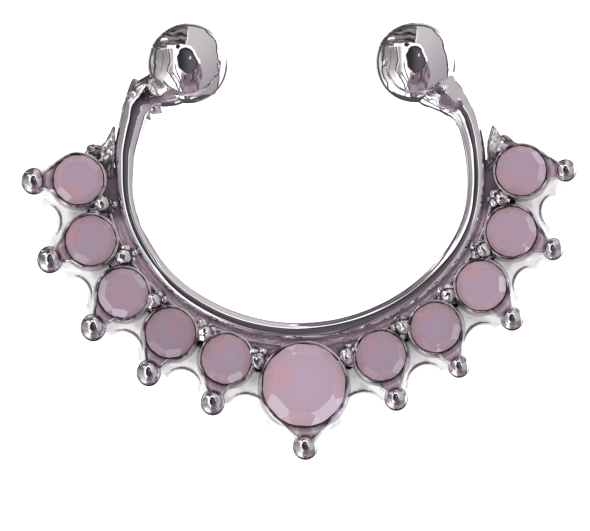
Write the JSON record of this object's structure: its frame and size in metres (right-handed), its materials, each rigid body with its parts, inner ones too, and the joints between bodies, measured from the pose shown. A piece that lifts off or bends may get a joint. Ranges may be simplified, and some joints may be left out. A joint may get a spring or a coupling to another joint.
{
  "type": "septum ring",
  "caption": "Clip-on septum ring: an open oval hoop with two grip balls and an outer crown of round cut stones in thin-rimmed cups with beaded tips.",
  "frame": {"origin": "middle of the footprint, on the surface that the ring lies on", "axes": "+Z the way the stones face, +Y from the crown to the grip balls, +X to the right as the stones are seen with the balls at the top"},
  "size_m": [0.0166, 0.0132, 0.0025],
  "materials": {
    "metal": "polished rhodium plate",
    "stone": "polished, milky opal pink"
  },
  "bodies": {
    "root": {"ring_frame": "metal", "stone_centre": "stone", "stone_left_1": "stone", "stone_left_2": "stone", "stone_left_3": "stone", "stone_left_4": "stone", "stone_left_5": "stone", "stone_right_1": "stone", "stone_right_2": "stone", "stone_right_3": "stone", "stone_right_4": "stone", "stone_right_5": "stone"}
  },
  "joints": []
}
